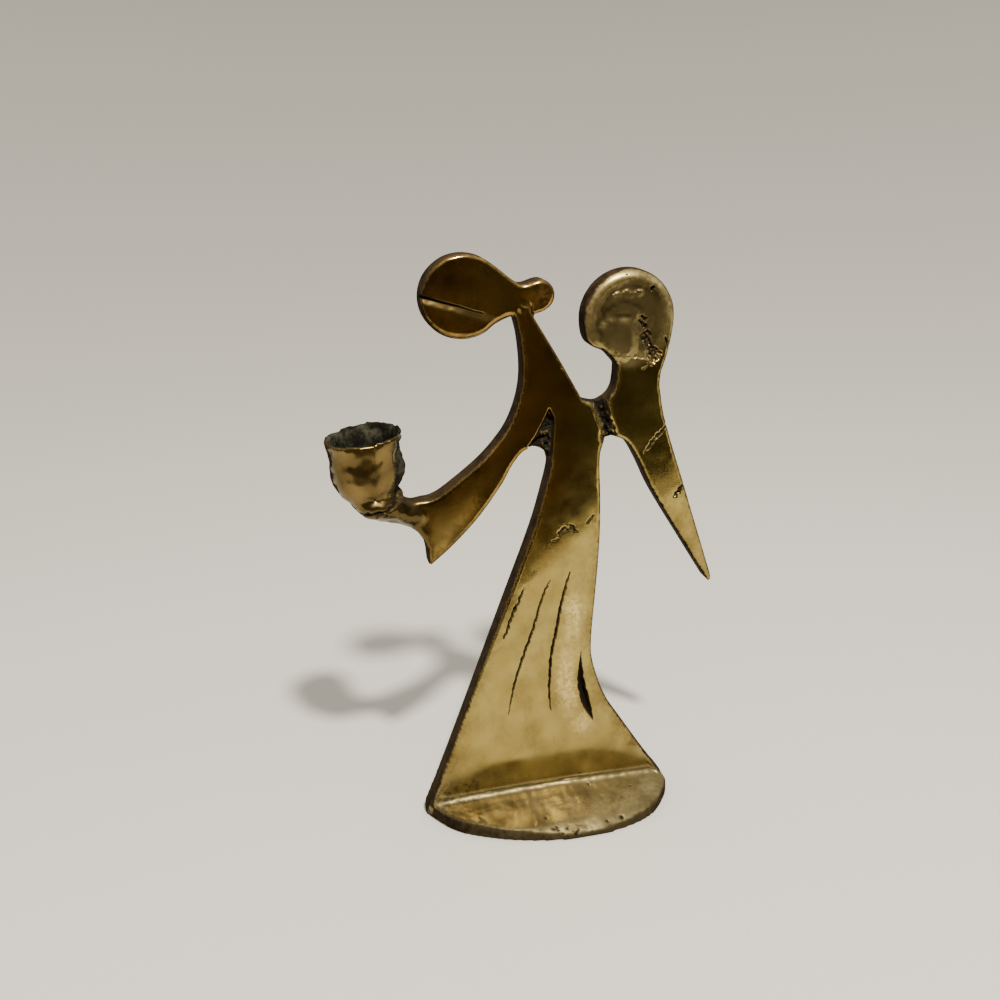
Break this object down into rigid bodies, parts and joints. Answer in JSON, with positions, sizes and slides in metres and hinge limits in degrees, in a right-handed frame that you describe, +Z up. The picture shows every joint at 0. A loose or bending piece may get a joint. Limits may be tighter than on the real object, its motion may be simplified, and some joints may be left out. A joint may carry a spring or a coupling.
{
  "type": "angel candle holder",
  "caption": "Flat cast brass angel with a round cup for one small candle in its hand, a scroll-topped wing, and a foot bent forward to stand on.",
  "frame": {"origin": "middle of the foot's underside, on the surface that the figure stands on", "axes": "+Z up, the figure's polished front faces -Y, +X to the viewer's right, towards the wing"},
  "size_m": [0.0998, 0.0261, 0.1499],
  "materials": {
    "aged_brass": "hand-polished front with a brown patina, dark as-cast edges and back, and soot inside the cup"
  },
  "bodies": {
    "root": {"angel_casting": "aged_brass"}
  },
  "joints": []
}
